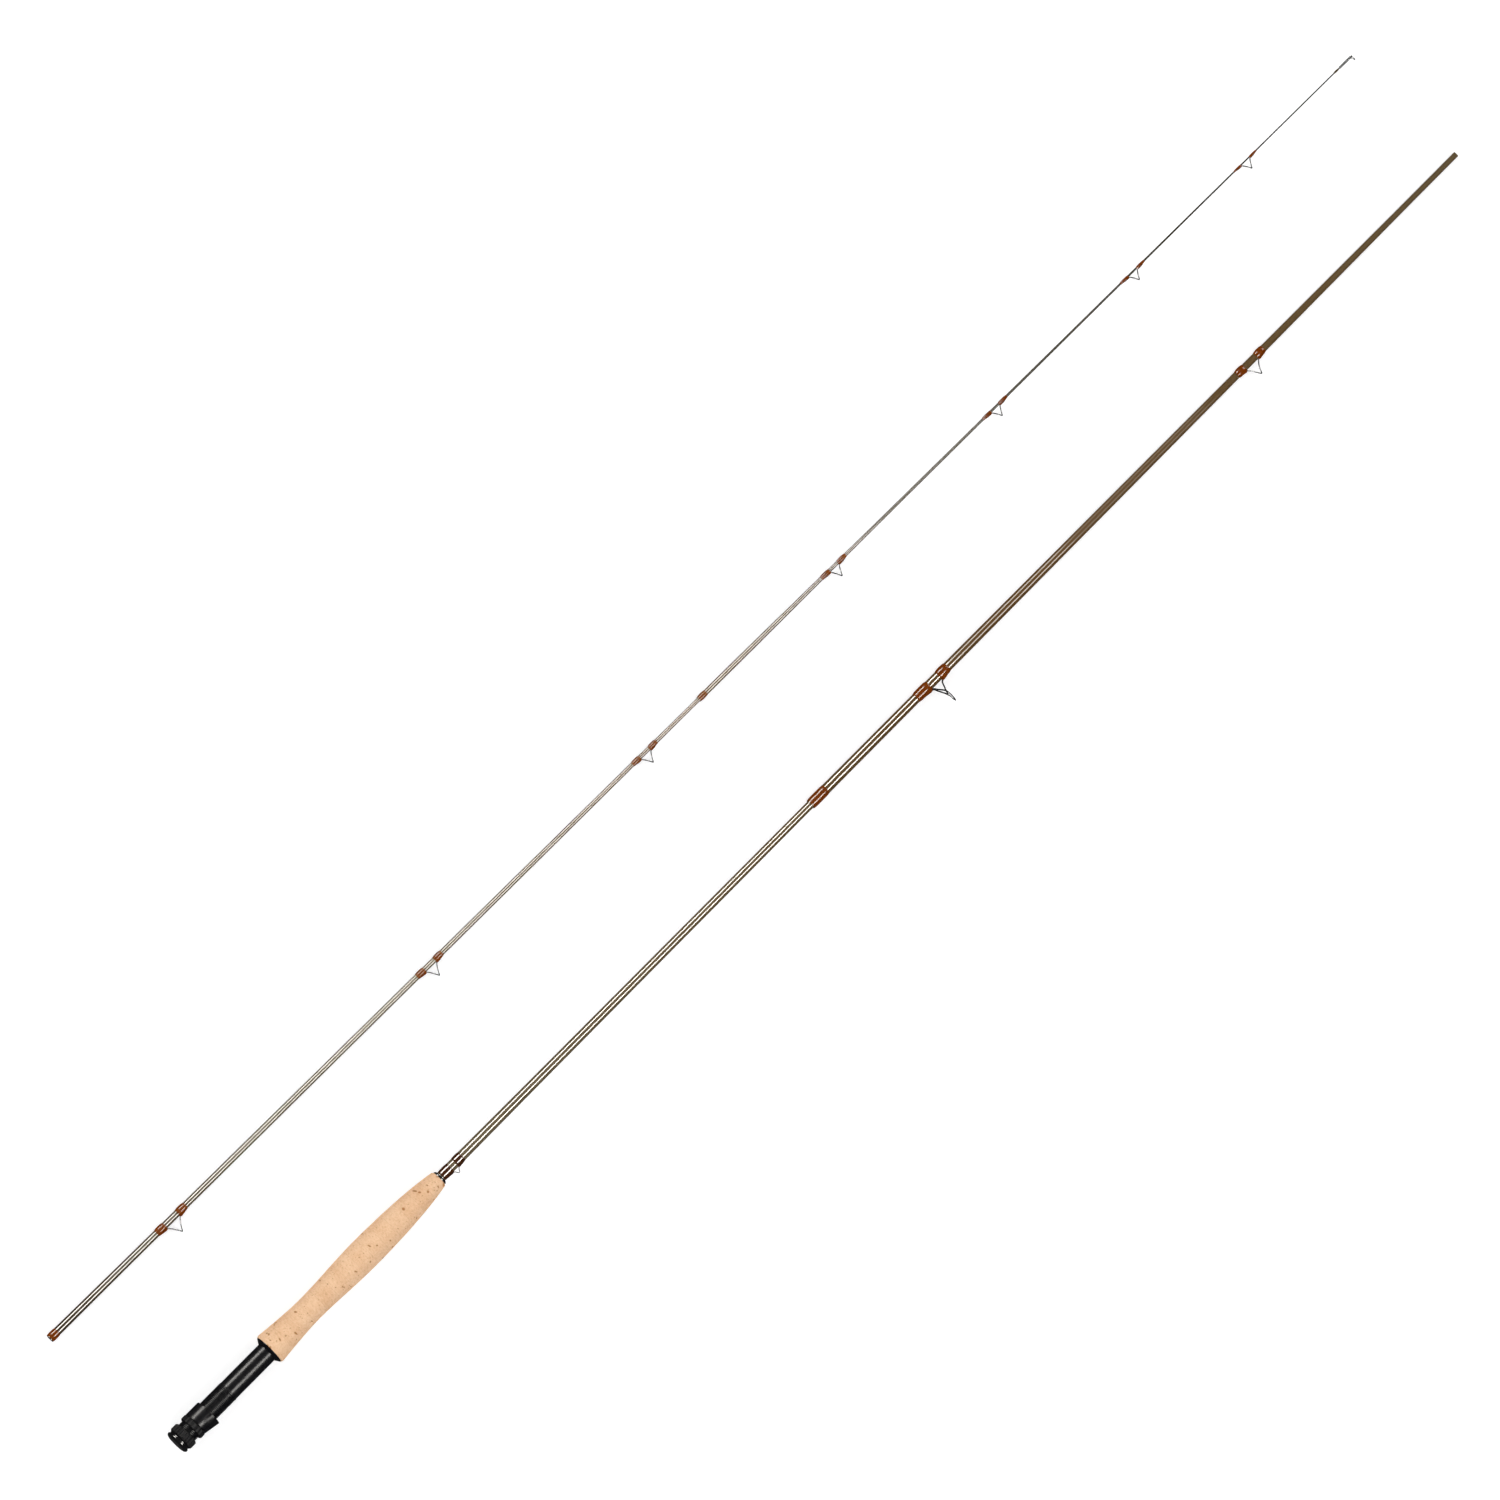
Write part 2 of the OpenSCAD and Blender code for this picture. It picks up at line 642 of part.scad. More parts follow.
module snake_guide_1() { color("#b9babc") lay_lower_mid() snake_guide(lower_taper, lower_guides[0]); }
module snake_guide_2() { color("#b9babc") lay_tip() snake_guide(upper_taper, upper_guides[0]); }
module snake_guide_3() { color("#b9babc") lay_tip() snake_guide(upper_taper, upper_guides[1]); }
module snake_guide_4() { color("#b9babc") lay_tip() snake_guide(upper_taper, upper_guides[2]); }
module snake_guide_5() { color("#b9babc") lay_tip() snake_guide(tip_taper, tip_guides[0]); }
module snake_guide_6() { color("#b9babc") lay_tip() snake_guide(tip_taper, tip_guides[1]); }
module snake_guide_7() { color("#b9babc") lay_tip() snake_guide(tip_taper, tip_guides[2]); }
module snake_guide_8() { color("#b9babc") lay_tip() snake_guide(tip_taper, tip_guides[3]); }

module snake_guide_1_wraps() { color("#82410a") lay_lower_mid() snake_wraps(lower_taper, lower_guides[0]); }
module snake_guide_2_wraps() { color("#82410a") lay_tip() snake_wraps(upper_taper, upper_guides[0]); }
module snake_guide_3_wraps() { color("#82410a") lay_tip() snake_wraps(upper_taper, upper_guides[1]); }
module snake_guide_4_wraps() { color("#82410a") lay_tip() snake_wraps(upper_taper, upper_guides[2]); }
module snake_guide_5_wraps() { color("#82410a") lay_tip() snake_wraps(tip_taper, tip_guides[0]); }
module snake_guide_6_wraps() { color("#82410a") lay_tip() snake_wraps(tip_taper, tip_guides[1]); }
module snake_guide_7_wraps() { color("#82410a") lay_tip() snake_wraps(tip_taper, tip_guides[2]); }
module snake_guide_8_wraps() { color("#82410a") lay_tip() snake_wraps(tip_taper, tip_guides[3]); }

// Tip-top

module tip_top_tube() {
    r_in = taper_d(tip_taper, tip_tube_x[0]) / 2 + wrap_gap;
    r = tip_tube_d / 2;
    color("#c4c5c7") lay_tip() turned([
        [r_in, tip_tube_x[0]], [r - 0.15, tip_tube_x[0]], [r, tip_tube_x[0] + 0.4],
        [r, tip_tube_x[1] - 0.3], [r - 0.3, tip_tube_x[1]], [0, tip_tube_x[1]],
        [0, tip_taper[len(tip_taper) - 1][0] + 0.1], [r_in, tip_taper[len(tip_taper) - 1][0] + 0.1]
    ]);
}

module tip_top_ring() {
    plane_x = tip_half_l - tip_wire_r;
    centre_y = -tip_ring_r + 0.3;
    brace_z = tip_tube_d / 2 + tip_brace_r + foot_clear;
    color("#c4c5c7") lay_tip() {
        translate([plane_x, centre_y, 0]) rotate([0, 90, 0]) rotate_extrude()
            translate([tip_ring_r, 0]) circle(r = tip_wire_r, $fn = 24);
        for (side = [-1, 1]) {
            path = curve([
                [tip_tube_x[0] + 3, 0, side * brace_z], [tip_tube_x[0] + 8, -0.2, side * brace_z],
                [plane_x - 1.5, centre_y + 0.7, side * (brace_z + 0.3)],
                [plane_x - 0.1, centre_y, side * tip_ring_r]
            ], 4);
            wire(path, [for (p = path) tip_brace_r], [0, 1, 0]);
        }
    }
}

butt_blank();
cork_grip();
winding_check();
hook_keeper();
hook_keeper_wraps();
reel_seat_barrel();
seat_arbors();
fixed_hood();
seat_end_cap();
sliding_hood();
front_lock_ring();
rear_lock_ring();
lower_mid_blank();
lower_mid_ferrule_wrap();
stripping_guide_frame();
stripping_guide_ring();
stripping_guide_wraps();
snake_guide_1();
snake_guide_1_wraps();
upper_mid_blank();
upper_mid_ferrule_wrap();
snake_guide_2();
snake_guide_2_wraps();
snake_guide_3();
snake_guide_3_wraps();
snake_guide_4();
snake_guide_4_wraps();
tip_blank();
tip_ferrule_wrap();
snake_guide_5();
snake_guide_5_wraps();
snake_guide_6();
snake_guide_6_wraps();
snake_guide_7();
snake_guide_7_wraps();
snake_guide_8();
snake_guide_8_wraps();
tip_top_tube();
tip_top_ring();
tip_top_wrap();
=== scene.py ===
"""Four-piece fly rod, laid out as two joined halves: the looks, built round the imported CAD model.

Shapes are worked out in millimetres in each half's own frame: X along the rod from its thick end,
guides towards -Y. They are written to meshes in metres, in the row frame.
"""

import json
import math
import random

import bmesh
import bpy
from mathutils import Matrix, Vector

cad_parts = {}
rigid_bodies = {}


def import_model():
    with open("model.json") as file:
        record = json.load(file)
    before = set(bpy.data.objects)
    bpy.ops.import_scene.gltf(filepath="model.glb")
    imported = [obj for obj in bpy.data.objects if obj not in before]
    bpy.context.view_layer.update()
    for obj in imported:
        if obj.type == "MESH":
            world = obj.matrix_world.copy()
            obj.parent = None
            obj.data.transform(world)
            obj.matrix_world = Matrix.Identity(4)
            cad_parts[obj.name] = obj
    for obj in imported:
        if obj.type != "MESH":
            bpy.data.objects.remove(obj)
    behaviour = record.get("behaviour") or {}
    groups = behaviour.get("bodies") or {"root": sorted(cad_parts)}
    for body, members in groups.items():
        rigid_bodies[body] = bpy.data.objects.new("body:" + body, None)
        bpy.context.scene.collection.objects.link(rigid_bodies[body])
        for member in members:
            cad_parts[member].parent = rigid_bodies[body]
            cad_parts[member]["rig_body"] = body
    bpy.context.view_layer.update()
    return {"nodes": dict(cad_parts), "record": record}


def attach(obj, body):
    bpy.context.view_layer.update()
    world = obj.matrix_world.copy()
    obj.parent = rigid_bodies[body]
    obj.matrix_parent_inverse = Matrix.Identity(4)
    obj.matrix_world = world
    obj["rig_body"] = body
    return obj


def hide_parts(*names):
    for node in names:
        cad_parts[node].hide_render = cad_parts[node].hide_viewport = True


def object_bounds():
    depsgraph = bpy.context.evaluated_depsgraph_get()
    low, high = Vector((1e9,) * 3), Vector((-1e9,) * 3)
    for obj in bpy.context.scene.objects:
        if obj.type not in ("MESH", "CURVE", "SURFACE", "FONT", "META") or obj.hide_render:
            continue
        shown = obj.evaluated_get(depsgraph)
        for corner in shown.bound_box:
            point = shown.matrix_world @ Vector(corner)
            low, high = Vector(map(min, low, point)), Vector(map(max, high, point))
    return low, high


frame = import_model()
MM = 0.001

# ---------------------------------------------------------------- the two halves' own frames

MOUNTS = {mount["name"]: mount for mount in frame["record"]["mounts"]}
SOCKET_CENTRE_IN = 0.026  # from the tip half's socket mouth to the socket mount's centre


def half_matrix(origin, along):
    """Row frame from a half's own frame in millimetres."""
    x = Vector(along).normalized()
    y = Vector((0, 0, 1)).cross(x).normalized()
    rotation = Matrix((x, y, x.cross(y))).transposed().to_4x4()
    return Matrix.Translation(origin) @ rotation @ Matrix.Scale(MM, 4)


butt_end = MOUNTS["butt_end"]
socket = MOUNTS["upper_mid_socket"]
BUTT = half_matrix(Vector(butt_end["pos_m"]), -Vector(butt_end["axis"]))
TIP = half_matrix(
    Vector(socket["pos_m"]) + Vector(socket["axis"]) * SOCKET_CENTRE_IN, -Vector(socket["axis"])
)
strip_centre = BUTT.inverted() @ Vector(MOUNTS["stripping_guide_bore"]["pos_m"])
LOWER = BUTT @ Matrix.Rotation(-math.atan2(strip_centre.z, -strip_centre.y), 4, "X")
HALVES = {"lower_mid_section": LOWER, "upper_mid_section": TIP, "tip_section": TIP}


def half_of(node):
    """The frame that a node is built in; the lower mid section is rolled in its ferrule."""
    return HALVES.get(frame["nodes"][node]["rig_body"], BUTT)


def own_points(node):
    """A CAD node's corners in its half's own frame, in millimetres."""
    back = half_of(node).inverted()
    return [back @ v.co for v in frame["nodes"][node].data.vertices]


def own_box(node):
    """Lowest and highest corner of a CAD node in its half's own frame."""
    points = own_points(node)
    low = Vector([min(p[k] for p in points) for k in range(3)])
    high = Vector([max(p[k] for p in points) for k in range(3)])
    return low, high


def own_spans(node):
    """Where the two separate solids of a node start and end along the rod."""
    xs = sorted(p.x for p in own_points(node))
    gaps = [(b - a, a, b) for a, b in zip(xs, xs[1:])]
    _, first_end, second_start = max(gaps)
    return (xs[0], first_end), (second_start, xs[-1])


class Taper:
    """The outer radius of a turned CAD node along the rod, read from its outward walls."""

    def __init__(self, node):
        points = own_points(node)
        widest = {}
        for face in frame["nodes"][node].data.polygons:
            corners = [points[k] for k in face.vertices]
            flat = (corners[1] - corners[0]).cross(corners[2] - corners[0]).normalized()
            middle_of_face = sum(corners, Vector()) / len(corners)
            outward = Vector((0, middle_of_face.y, middle_of_face.z)).normalized()
            if flat.dot(outward) < 0.2:
                continue
            for p in corners:
                x = round(p.x, 1)
                widest[x] = max(widest.get(x, 0), math.hypot(p.y, p.z))
        self.stations = sorted(widest.items())

    def __call__(self, x):
        below = [s for s in self.stations if s[0] <= x] or self.stations[:1]
        above = [s for s in self.stations if s[0] > x] or self.stations[-1:]
        (x0, r0), (x1, r1) = below[-1], above[0]
        if x1 == x0:
            return r0
        return r0 + (r1 - r0) * (x - x0) / (x1 - x0)


BUTT_R = Taper("butt_blank")
LOWER_R = Taper("lower_mid_blank")
UPPER_R = Taper("upper_mid_blank")
TIP_R = Taper("tip_blank")

# ---------------------------------------------------------------- materials

CORK_RINGS = 14
THREADS_PER_METRE = 2250
WAVE_TURN = 20  # how many radians a wave texture turns through for each unit of its scaled X


def srgb(r, g, b):
    """Linear colour from 0 to 255 screen values."""
    def linear(v):
        v = v / 255
        return v / 12.92 if v <= 0.04045 else ((v + 0.055) / 1.055) ** 2.4
    return (linear(r), linear(g), linear(b), 1.0)


class Looks:
    """A Principled material and the nodes that feed it."""

    def __init__(self, name, colour, roughness, metallic=0.0, coat=0.0, coat_roughness=0.05, specular=0.5):
        self.material = bpy.data.materials.new(name)
        self.material.use_nodes = True
        self.tree = self.material.node_tree
        self.shader = self.tree.nodes["Principled BSDF"]
        sockets = self.shader.inputs
        sockets["Base Color"].default_value = colour
        sockets["Roughness"].default_value = roughness
        sockets["Metallic"].default_value = metallic
        sockets["Coat Weight"].default_value = coat
        sockets["Coat Roughness"].default_value = coat_roughness
        sockets["Specular IOR Level"].default_value = specular
        self.place = self.node("ShaderNodeTexCoord").outputs["Object"]

    def node(self, kind, **settings):
        made = self.tree.nodes.new(kind)
        for key, value in settings.items():
            setattr(made, key, value)
        return made

    def feed(self, output, target):
        self.tree.links.new(output, target)

    def stretched(self, scale):
        """Object coordinates, scaled by a number for each axis."""
        mapping = self.node("ShaderNodeMapping")
        mapping.inputs["Scale"].default_value = scale
        self.feed(self.place, mapping.inputs["Vector"])
        return mapping.outputs["Vector"]

    def noise(self, scale, detail=3.0, rough=0.55):
        """Noise from 0 to 1, with a frequency per metre for each axis."""
        made = self.node("ShaderNodeTexNoise")
        made.inputs["Scale"].default_value = 1.0
        made.inputs["Detail"].default_value = detail
        made.inputs["Roughness"].default_value = rough
        self.feed(self.stretched(scale), made.inputs["Vector"])
        return made.outputs["Fac"]

    def bands(self, per_metre, distortion=0.0):
        """Bands across the rod, so many to the metre."""
        made = self.node("ShaderNodeTexWave", bands_direction="X")
        made.inputs["Scale"].default_value = per_metre * 2 * math.pi / WAVE_TURN
        made.inputs["Distortion"].default_value = distortion
        self.feed(self.place, made.inputs["Vector"])
        return made.outputs["Fac"]

    def ramp(self, value, stops):
        made = self.node("ShaderNodeValToRGB")
        elements = made.color_ramp.elements
        while len(elements) < len(stops):
            elements.new(0.5)
        for element, (position, colour) in zip(elements, stops):
            element.position = position
            element.color = colour
        self.feed(value, made.inputs["Fac"])
        return made.outputs["Color"]

    def along(self, x0, x1):
        """0 to 1 between two places along X, in millimetres."""
        split = self.node("ShaderNodeSeparateXYZ")
        self.feed(self.place, split.inputs["Vector"])
        made = self.node("ShaderNodeMapRange")
        made.inputs["From Min"].default_value = x0 * MM
        made.inputs["From Max"].default_value = x1 * MM
        self.feed(split.outputs["X"], made.inputs["Value"])
        return made.outputs["Result"]

    def mix(self, a, b, factor, blend="MIX"):
        """Two colours mixed. Each of a, b and factor is an output or a plain value."""
        made = self.node("ShaderNodeMix", data_type="RGBA", blend_type=blend)
        for socket_index, value in ((0, factor), (6, a), (7, b)):
            if isinstance(value, bpy.types.NodeSocket):
                self.feed(value, made.inputs[socket_index])
            else:
                made.inputs[socket_index].default_value = value
        return made.outputs[2]

    def attribute(self, name):
        return self.node("ShaderNodeAttribute", attribute_name=name).outputs["Fac"]

    def colour(self, output):
        self.feed(output, self.shader.inputs["Base Color"])

    def roughness(self, value, low, high):
        made = self.node("ShaderNodeMapRange")
        made.inputs["To Min"].default_value = low
        made.inputs["To Max"].default_value = high
        self.feed(value, made.inputs["Value"])
        self.feed(made.outputs["Result"], self.shader.inputs["Roughness"])

    def bump(self, value, strength, depth_mm):
        """Adds a bump over those made before."""
        made = self.node("ShaderNodeBump")
        made.inputs["Strength"].default_value = strength
        made.inputs["Distance"].default_value = depth_mm * MM
        self.feed(value, made.inputs["Height"])
        before = self.shader.inputs["Normal"].links
        if before:
            self.feed(before[0].from_socket, made.inputs["Normal"])
        self.feed(made.outputs["Normal"], self.shader.inputs["Normal"])


def graphite(name, x0, x1, stops):
    """Gloss-coated graphite whose colour drifts along the rod, with fine pearl flake."""
    looks = Looks(name, stops[0][1], 0.4, coat=1.0, coat_roughness=0.04, specular=0.02)
    drift = looks.ramp(looks.along(x0, x1), stops)
    cloud = looks.noise((25, 500, 500), detail=5)
    flake = looks.noise((5000, 5000, 5000), detail=1)
    dark = looks.mix(drift, (0.5, 0.42, 0.32, 1), 0.6, "MULTIPLY")
    looks.colour(looks.mix(looks.mix(dark, drift, cloud), drift, flake))
    looks.roughness(flake, 0.34, 0.48)
    looks.bump(looks.noise((70, 500, 500), detail=2), 0.08, 0.05)
    return looks.material


def cork_looks(name, pits):
    """Cork rings glued end to end, each a slightly different tan, grained and speckled."""
    looks = Looks(name, srgb(240, 192, 152), 0.85, specular=0.05)
    low, high = own_box("cork_grip")
    rings = looks.node("ShaderNodeMath", operation="MULTIPLY")
    looks.feed(looks.along(low.x, high.x), rings.inputs[0])
    rings.inputs[1].default_value = CORK_RINGS
    number = looks.node("ShaderNodeMath", operation="FLOOR")
    looks.feed(rings.outputs[0], number.inputs[0])
    tint = looks.node("ShaderNodeTexWhiteNoise", noise_dimensions="1D")
    looks.feed(number.outputs[0], tint.inputs["W"])
    ring_colour = looks.ramp(tint.outputs["Value"], [
        (0.0, srgb(227, 182, 142)), (0.5, srgb(234, 192, 153)), (1.0, srgb(240, 201, 164)),
    ])
    grain = looks.ramp(looks.noise((900, 500, 500), detail=6, rough=0.65), [
        (0.3, srgb(194, 145, 102)), (0.5, srgb(235, 193, 155)), (0.75, srgb(249, 219, 186)),
    ])
    blotch = looks.ramp(looks.noise((110, 70, 70), detail=3), [
        (0.35, srgb(221, 173, 130)), (0.62, srgb(244, 206, 168)),
    ])
    tan = looks.mix(looks.mix(ring_colour, grain, 0.55), blotch, 0.3)
    speck = looks.node("ShaderNodeTexVoronoi")
    speck.inputs["Scale"].default_value = 1.0
    looks.feed(looks.stretched((340, 620, 620)), speck.inputs["Vector"])
    fleck = looks.ramp(speck.outputs["Distance"], [(0.0, (1, 1, 1, 1)), (0.16, (0, 0, 0, 1))])
    tan = looks.mix(tan, srgb(176, 116, 66), fleck)
    if pits:
        # Darker in and round each pit: partly the pores' own colour, partly painted shade in the hollow
        tan = looks.mix(tan, srgb(176, 122, 76), looks.attribute("pit"))
        seam = looks.node("ShaderNodeMath", operation="FRACT")
        looks.feed(rings.outputs[0], seam.inputs[0])
        faint = (0.22, 0.22, 0.22, 1)
        none = (0, 0, 0, 1)
        line = looks.ramp(seam.outputs[0], [(0.0, faint), (0.02, none), (0.99, none), (1.0, faint)])
        tan = looks.mix(tan, srgb(150, 98, 56), line)
    looks.colour(tan)
    looks.bump(looks.noise((1500, 1500, 1500), detail=5, rough=0.7), 0.35, 0.12)
    looks.bump(fleck, -0.5, 0.1)
    return looks.material


def anodised(name, colour, roughness, brush=1.0):
    """Black anodised aluminium, turned on a lathe."""
    looks = Looks(name, colour, roughness, specular=0.13)
    lathe_marks = looks.noise((9000, 60, 60), detail=2)
    wear = looks.noise((160, 160, 160), detail=5)
    looks.colour(looks.mix(colour, tuple(2.2 * c for c in colour[:3]) + (1,), wear))
    looks.roughness(wear, roughness - 0.05, roughness + 0.12)
    looks.bump(lathe_marks, 0.25 * brush, 0.03)
    return looks.material


def knurled(name):
    """Matte black anodised aluminium with fine lines along the teeth."""
    looks = Looks(name, srgb(16, 16, 17), 0.5, specular=0.06)
    scuff = looks.noise((300, 900, 900), detail=5)
    looks.colour(looks.mix(srgb(9, 9, 10), srgb(26, 26, 28), scuff))
    looks.roughness(scuff, 0.4, 0.62)
    looks.bump(looks.noise((120, 4000, 4000), detail=1), 0.5, 0.06)
    return looks.material


def thread(name, colour, light, coat):
    """Thread laid side by side under clear epoxy. Each strand is painted lighter along its crown and darker
    in the groove by the next one, as a painted highlight and painted shade.
    """
    looks = Looks(name, colour, 0.5, coat=coat, coat_roughness=0.05, specular=0.0)
    strands = looks.bands(THREADS_PER_METRE, distortion=0.4)
    shade = looks.noise((500, 260, 260), detail=4)
    # Painted highlight and shade: lighter on each strand's crown, darker in the groove between strands
    painted_strand_shading = looks.mix(colour, light, strands)
    looks.colour(looks.mix(painted_strand_shading, tuple(0.45 * c for c in colour[:3]) + (1,), shade))
    looks.bump(strands, 0.35, 0.04)
    return looks.material


def wire_looks(name, colour, roughness):
    """Drawn wire with light draw marks."""
    looks = Looks(name, colour, roughness, metallic=1.0)
    marks = looks.noise((400, 2600, 2600), detail=3)
    looks.colour(looks.mix(colour, tuple(0.7 * c for c in colour[:3]) + (1,), marks))
    looks.roughness(marks, roughness * 0.8, roughness * 1.4)
    looks.bump(marks, 0.15, 0.02)
    return looks.material


def gloss_black(name, roughness, specular=0.35):
    """Hard black gloss with a faint haze."""
    looks = Looks(name, srgb(12, 12, 13), roughness, specular=specular)
    haze = looks.noise((700, 700, 700), detail=4)
    looks.colour(looks.mix(srgb(8, 8, 9), srgb(20, 20, 21), haze))
    looks.roughness(haze, roughness * 0.8, roughness * 1.3)
    looks.bump(haze, 0.08, 0.03)
    return looks.material


OLIVE = srgb(110, 98, 75)
BRONZE = srgb(98, 70, 36)
MATERIALS = {
    "graphite_butt": graphite("graphite_butt", 290, 740, [(0.0, OLIVE), (1.0, srgb(99, 80, 50))]),
    "graphite_lower_mid": graphite("graphite_lower_mid", 690, 1390, [
        (0.0, srgb(95, 75, 44)), (0.3, BRONZE), (0.7, srgb(98, 76, 44)), (1.0, srgb(96, 80, 54)),
    ]),
    "graphite_upper_mid": graphite("graphite_upper_mid", 0, 740, [
        (0.0, srgb(62, 50, 34)), (0.4, srgb(104, 94, 74)), (1.0, srgb(108, 86, 62)),
    ]),
    "graphite_tip": graphite("graphite_tip", 690, 1390, [
        (0.0, srgb(106, 85, 61)), (0.3, srgb(78, 70, 54)), (1.0, srgb(38, 36, 33)),
    ]),
    "cork": cork_looks("cork", pits=True),
    "arbor_cork": cork_looks("arbor_cork", pits=False),
    "seat_aluminium": anodised("seat_aluminium", srgb(11, 11, 13), 0.24),
    "ring_knurl": knurled("ring_knurl"),
    "black_trim": gloss_black("black_trim", 0.14),
    "black_frame": gloss_black("black_frame", 0.5, 0.08),
    "guide_ceramic": gloss_black("guide_ceramic", 0.12),
    # Each thread's second colour is the painted highlight along its strands' crowns
    "wrap_thread": thread("wrap_thread", srgb(120, 54, 6), srgb(146, 70, 10), 0.4),
    "keeper_thread": thread("keeper_thread", srgb(66, 34, 12), srgb(86, 46, 18), 1.0),
    "tip_thread": thread("tip_thread", srgb(72, 58, 38), srgb(96, 80, 54), 0.6),
    "snake_wire": wire_looks("snake_wire", (0.12, 0.12, 0.125, 1), 0.26),
    "keeper_wire": wire_looks("keeper_wire", (0.2, 0.2, 0.2, 1), 0.22),
    "tip_top_metal": wire_looks("tip_top_metal", (0.2, 0.205, 0.21, 1), 0.24),
}

CAD_LOOKS = {
    "butt_blank": "graphite_butt", "lower_mid_blank": "graphite_lower_mid",
    "upper_mid_blank": "graphite_upper_mid", "tip_blank": "graphite_tip",
    "winding_check": "black_trim", "seat_arbors": "arbor_cork", "fixed_hood": "seat_aluminium",
    "seat_end_cap": "black_trim", "sliding_hood": "seat_aluminium",
    "front_lock_ring": "ring_knurl", "rear_lock_ring": "ring_knurl",
    "stripping_guide_ring": "guide_ceramic", "tip_top_tube": "tip_top_metal",
}
for cad_node, slot_name in CAD_LOOKS.items():
    cad_object = frame["nodes"][cad_node]
    cad_object.data.materials.clear()
    cad_object.data.materials.append(MATERIALS[slot_name])

# ---------------------------------------------------------------- mesh building


class Shape:
    """Corners and faces of a piece, in its half's own frame in millimetres."""

    def __init__(self):
        self.points = []
        self.faces = []
        self.pits = []

    def rings(self, rings, closed_ends=True):
        """Joins rings of equal length into a tube, with flat ends."""
        first = len(self.points)
        count = len(rings[0])
        for ring in rings:
            self.points.extend(ring)
        for i in range(len(rings) - 1):
            for k in range(count):
                a = first + i * count + k
                b = first + i * count + (k + 1) % count
                self.faces.append((a, a + count, b + count, b))
        if closed_ends:
            self.faces.append(tuple(range(first, first + count)))
            last = first + (len(rings) - 1) * count
            self.faces.append(tuple(reversed(range(last, last + count))))

    def hoop(self, rings):
        """Joins rings of equal length into a tube that closes on itself."""
        self.rings(rings + [rings[0]], closed_ends=False)

    def piece(self, name, node, slot_name):
        """Makes the Blender object, rides it on its node's body and hides the node."""
        half = half_of(node)
        mesh = bpy.data.meshes.new(name)
        mesh.from_pydata([half @ Vector(p) for p in self.points], [], self.faces)
        work = bmesh.new()
        work.from_mesh(mesh)
        if self.pits:
            layer = work.verts.layers.float.new("pit")
            for vert, depth in zip(work.verts, self.pits):
                vert[layer] = depth
        bmesh.ops.remove_doubles(work, verts=work.verts, dist=1e-7)
        bmesh.ops.recalc_face_normals(work, faces=work.faces)
        for face in work.faces:
            face.smooth = len(face.verts) == 4
        work.to_mesh(mesh)
        work.free()
        mesh.materials.append(MATERIALS[slot_name])
        made = bpy.data.objects.new(name, mesh)
        bpy.context.scene.collection.objects.link(made)
        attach(made, frame["nodes"][node]["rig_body"])
        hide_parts(node)
        return made


def circle_ring(x, r, sides):
    """A ring of points about the rod's axis, turning from Y to Z."""
    angles = [2 * math.pi * k / sides for k in range(sides)]
    return [(x, r * math.cos(a), r * math.sin(a)) for a in angles]


def lerp(a, b, t):
    return a + (b - a) * t


def steps(a, b, size):
    """Evenly spaced values from a to b, about a size apart."""
    count = max(1, math.ceil(abs(b - a) / size))
    return [lerp(a, b, i / count) for i in range(count + 1)]


# ---------------------------------------------------------------- wires

WIRE_SIDES = 14
CAP_LEANS = (0.25, 0.6, 0.9)  # where a wire's rounded end has rings, from its pole to its side
CAP_REACH = 0.8  # how far the rounded end stands out, as a share of the wire's radius


def square_to(vector, direction):
    return (vector - direction * vector.dot(direction)).normalized()


def wire(shape, path, radii, side=Vector((0, 0, 1))):
    """A round wire along a path, with a rounded cap at each end."""
    path = [Vector(p) for p in path]
    tangents = [
        (path[min(i + 1, len(path) - 1)] - path[max(i - 1, 0)]).normalized() for i in range(len(path))
    ]
    rings = []

    def ring(centre, tangent, r):
        across = tangent.cross(side)
        angles = [2 * math.pi * k / WIRE_SIDES for k in range(WIRE_SIDES)]
        rings.append([centre + r * (math.cos(a) * side + math.sin(a) * across) for a in angles])

    side = square_to(side, tangents[0])
    for lean in CAP_LEANS:
        ring(path[0] - tangents[0] * radii[0] * math.cos(lean * math.pi / 2) * CAP_REACH,
             tangents[0], radii[0] * math.sin(lean * math.pi / 2))
    for centre, tangent, r in zip(path, tangents, radii):
        side = square_to(side, tangent)
        ring(centre, tangent, r)
    for lean in reversed(CAP_LEANS):
        ring(path[-1] + tangents[-1] * radii[-1] * math.cos(lean * math.pi / 2) * CAP_REACH,
             tangents[-1], radii[-1] * math.sin(lean * math.pi / 2))
    shape.rings(rings)


def curve(points, count):
    """A smooth curve through a short list of points."""
    points = [Vector(p) for p in points]
    path = []
    for i in range(len(points) - 1):
        a = points[max(i - 1, 0)]
        b = points[i]
        c = points[i + 1]
        d = points[min(i + 2, len(points) - 1)]
        for k in range(count):
            t = k / count
            path.append(0.5 * (
                2 * b + (c - a) * t + (2 * a - 5 * b + 4 * c - d) * t * t + (3 * b - a - 3 * c + d) * t ** 3
            ))
    return path + [points[-1]]


# ---------------------------------------------------------------- thread wraps

WRAP_SIDES = 72
WRAP_STEP = 0.25
END_FALL = 5.0  # how far in from each end the varnish reaches its full thickness, at most
FOOT_THIN = 0.15  # height of the ridge over a foot's end
FOOT_PEAK = 0.8  # share of a wrap's length at which it stands highest over the foot
FOOT_DROP = 0.35  # share of the height lost between there and the guide


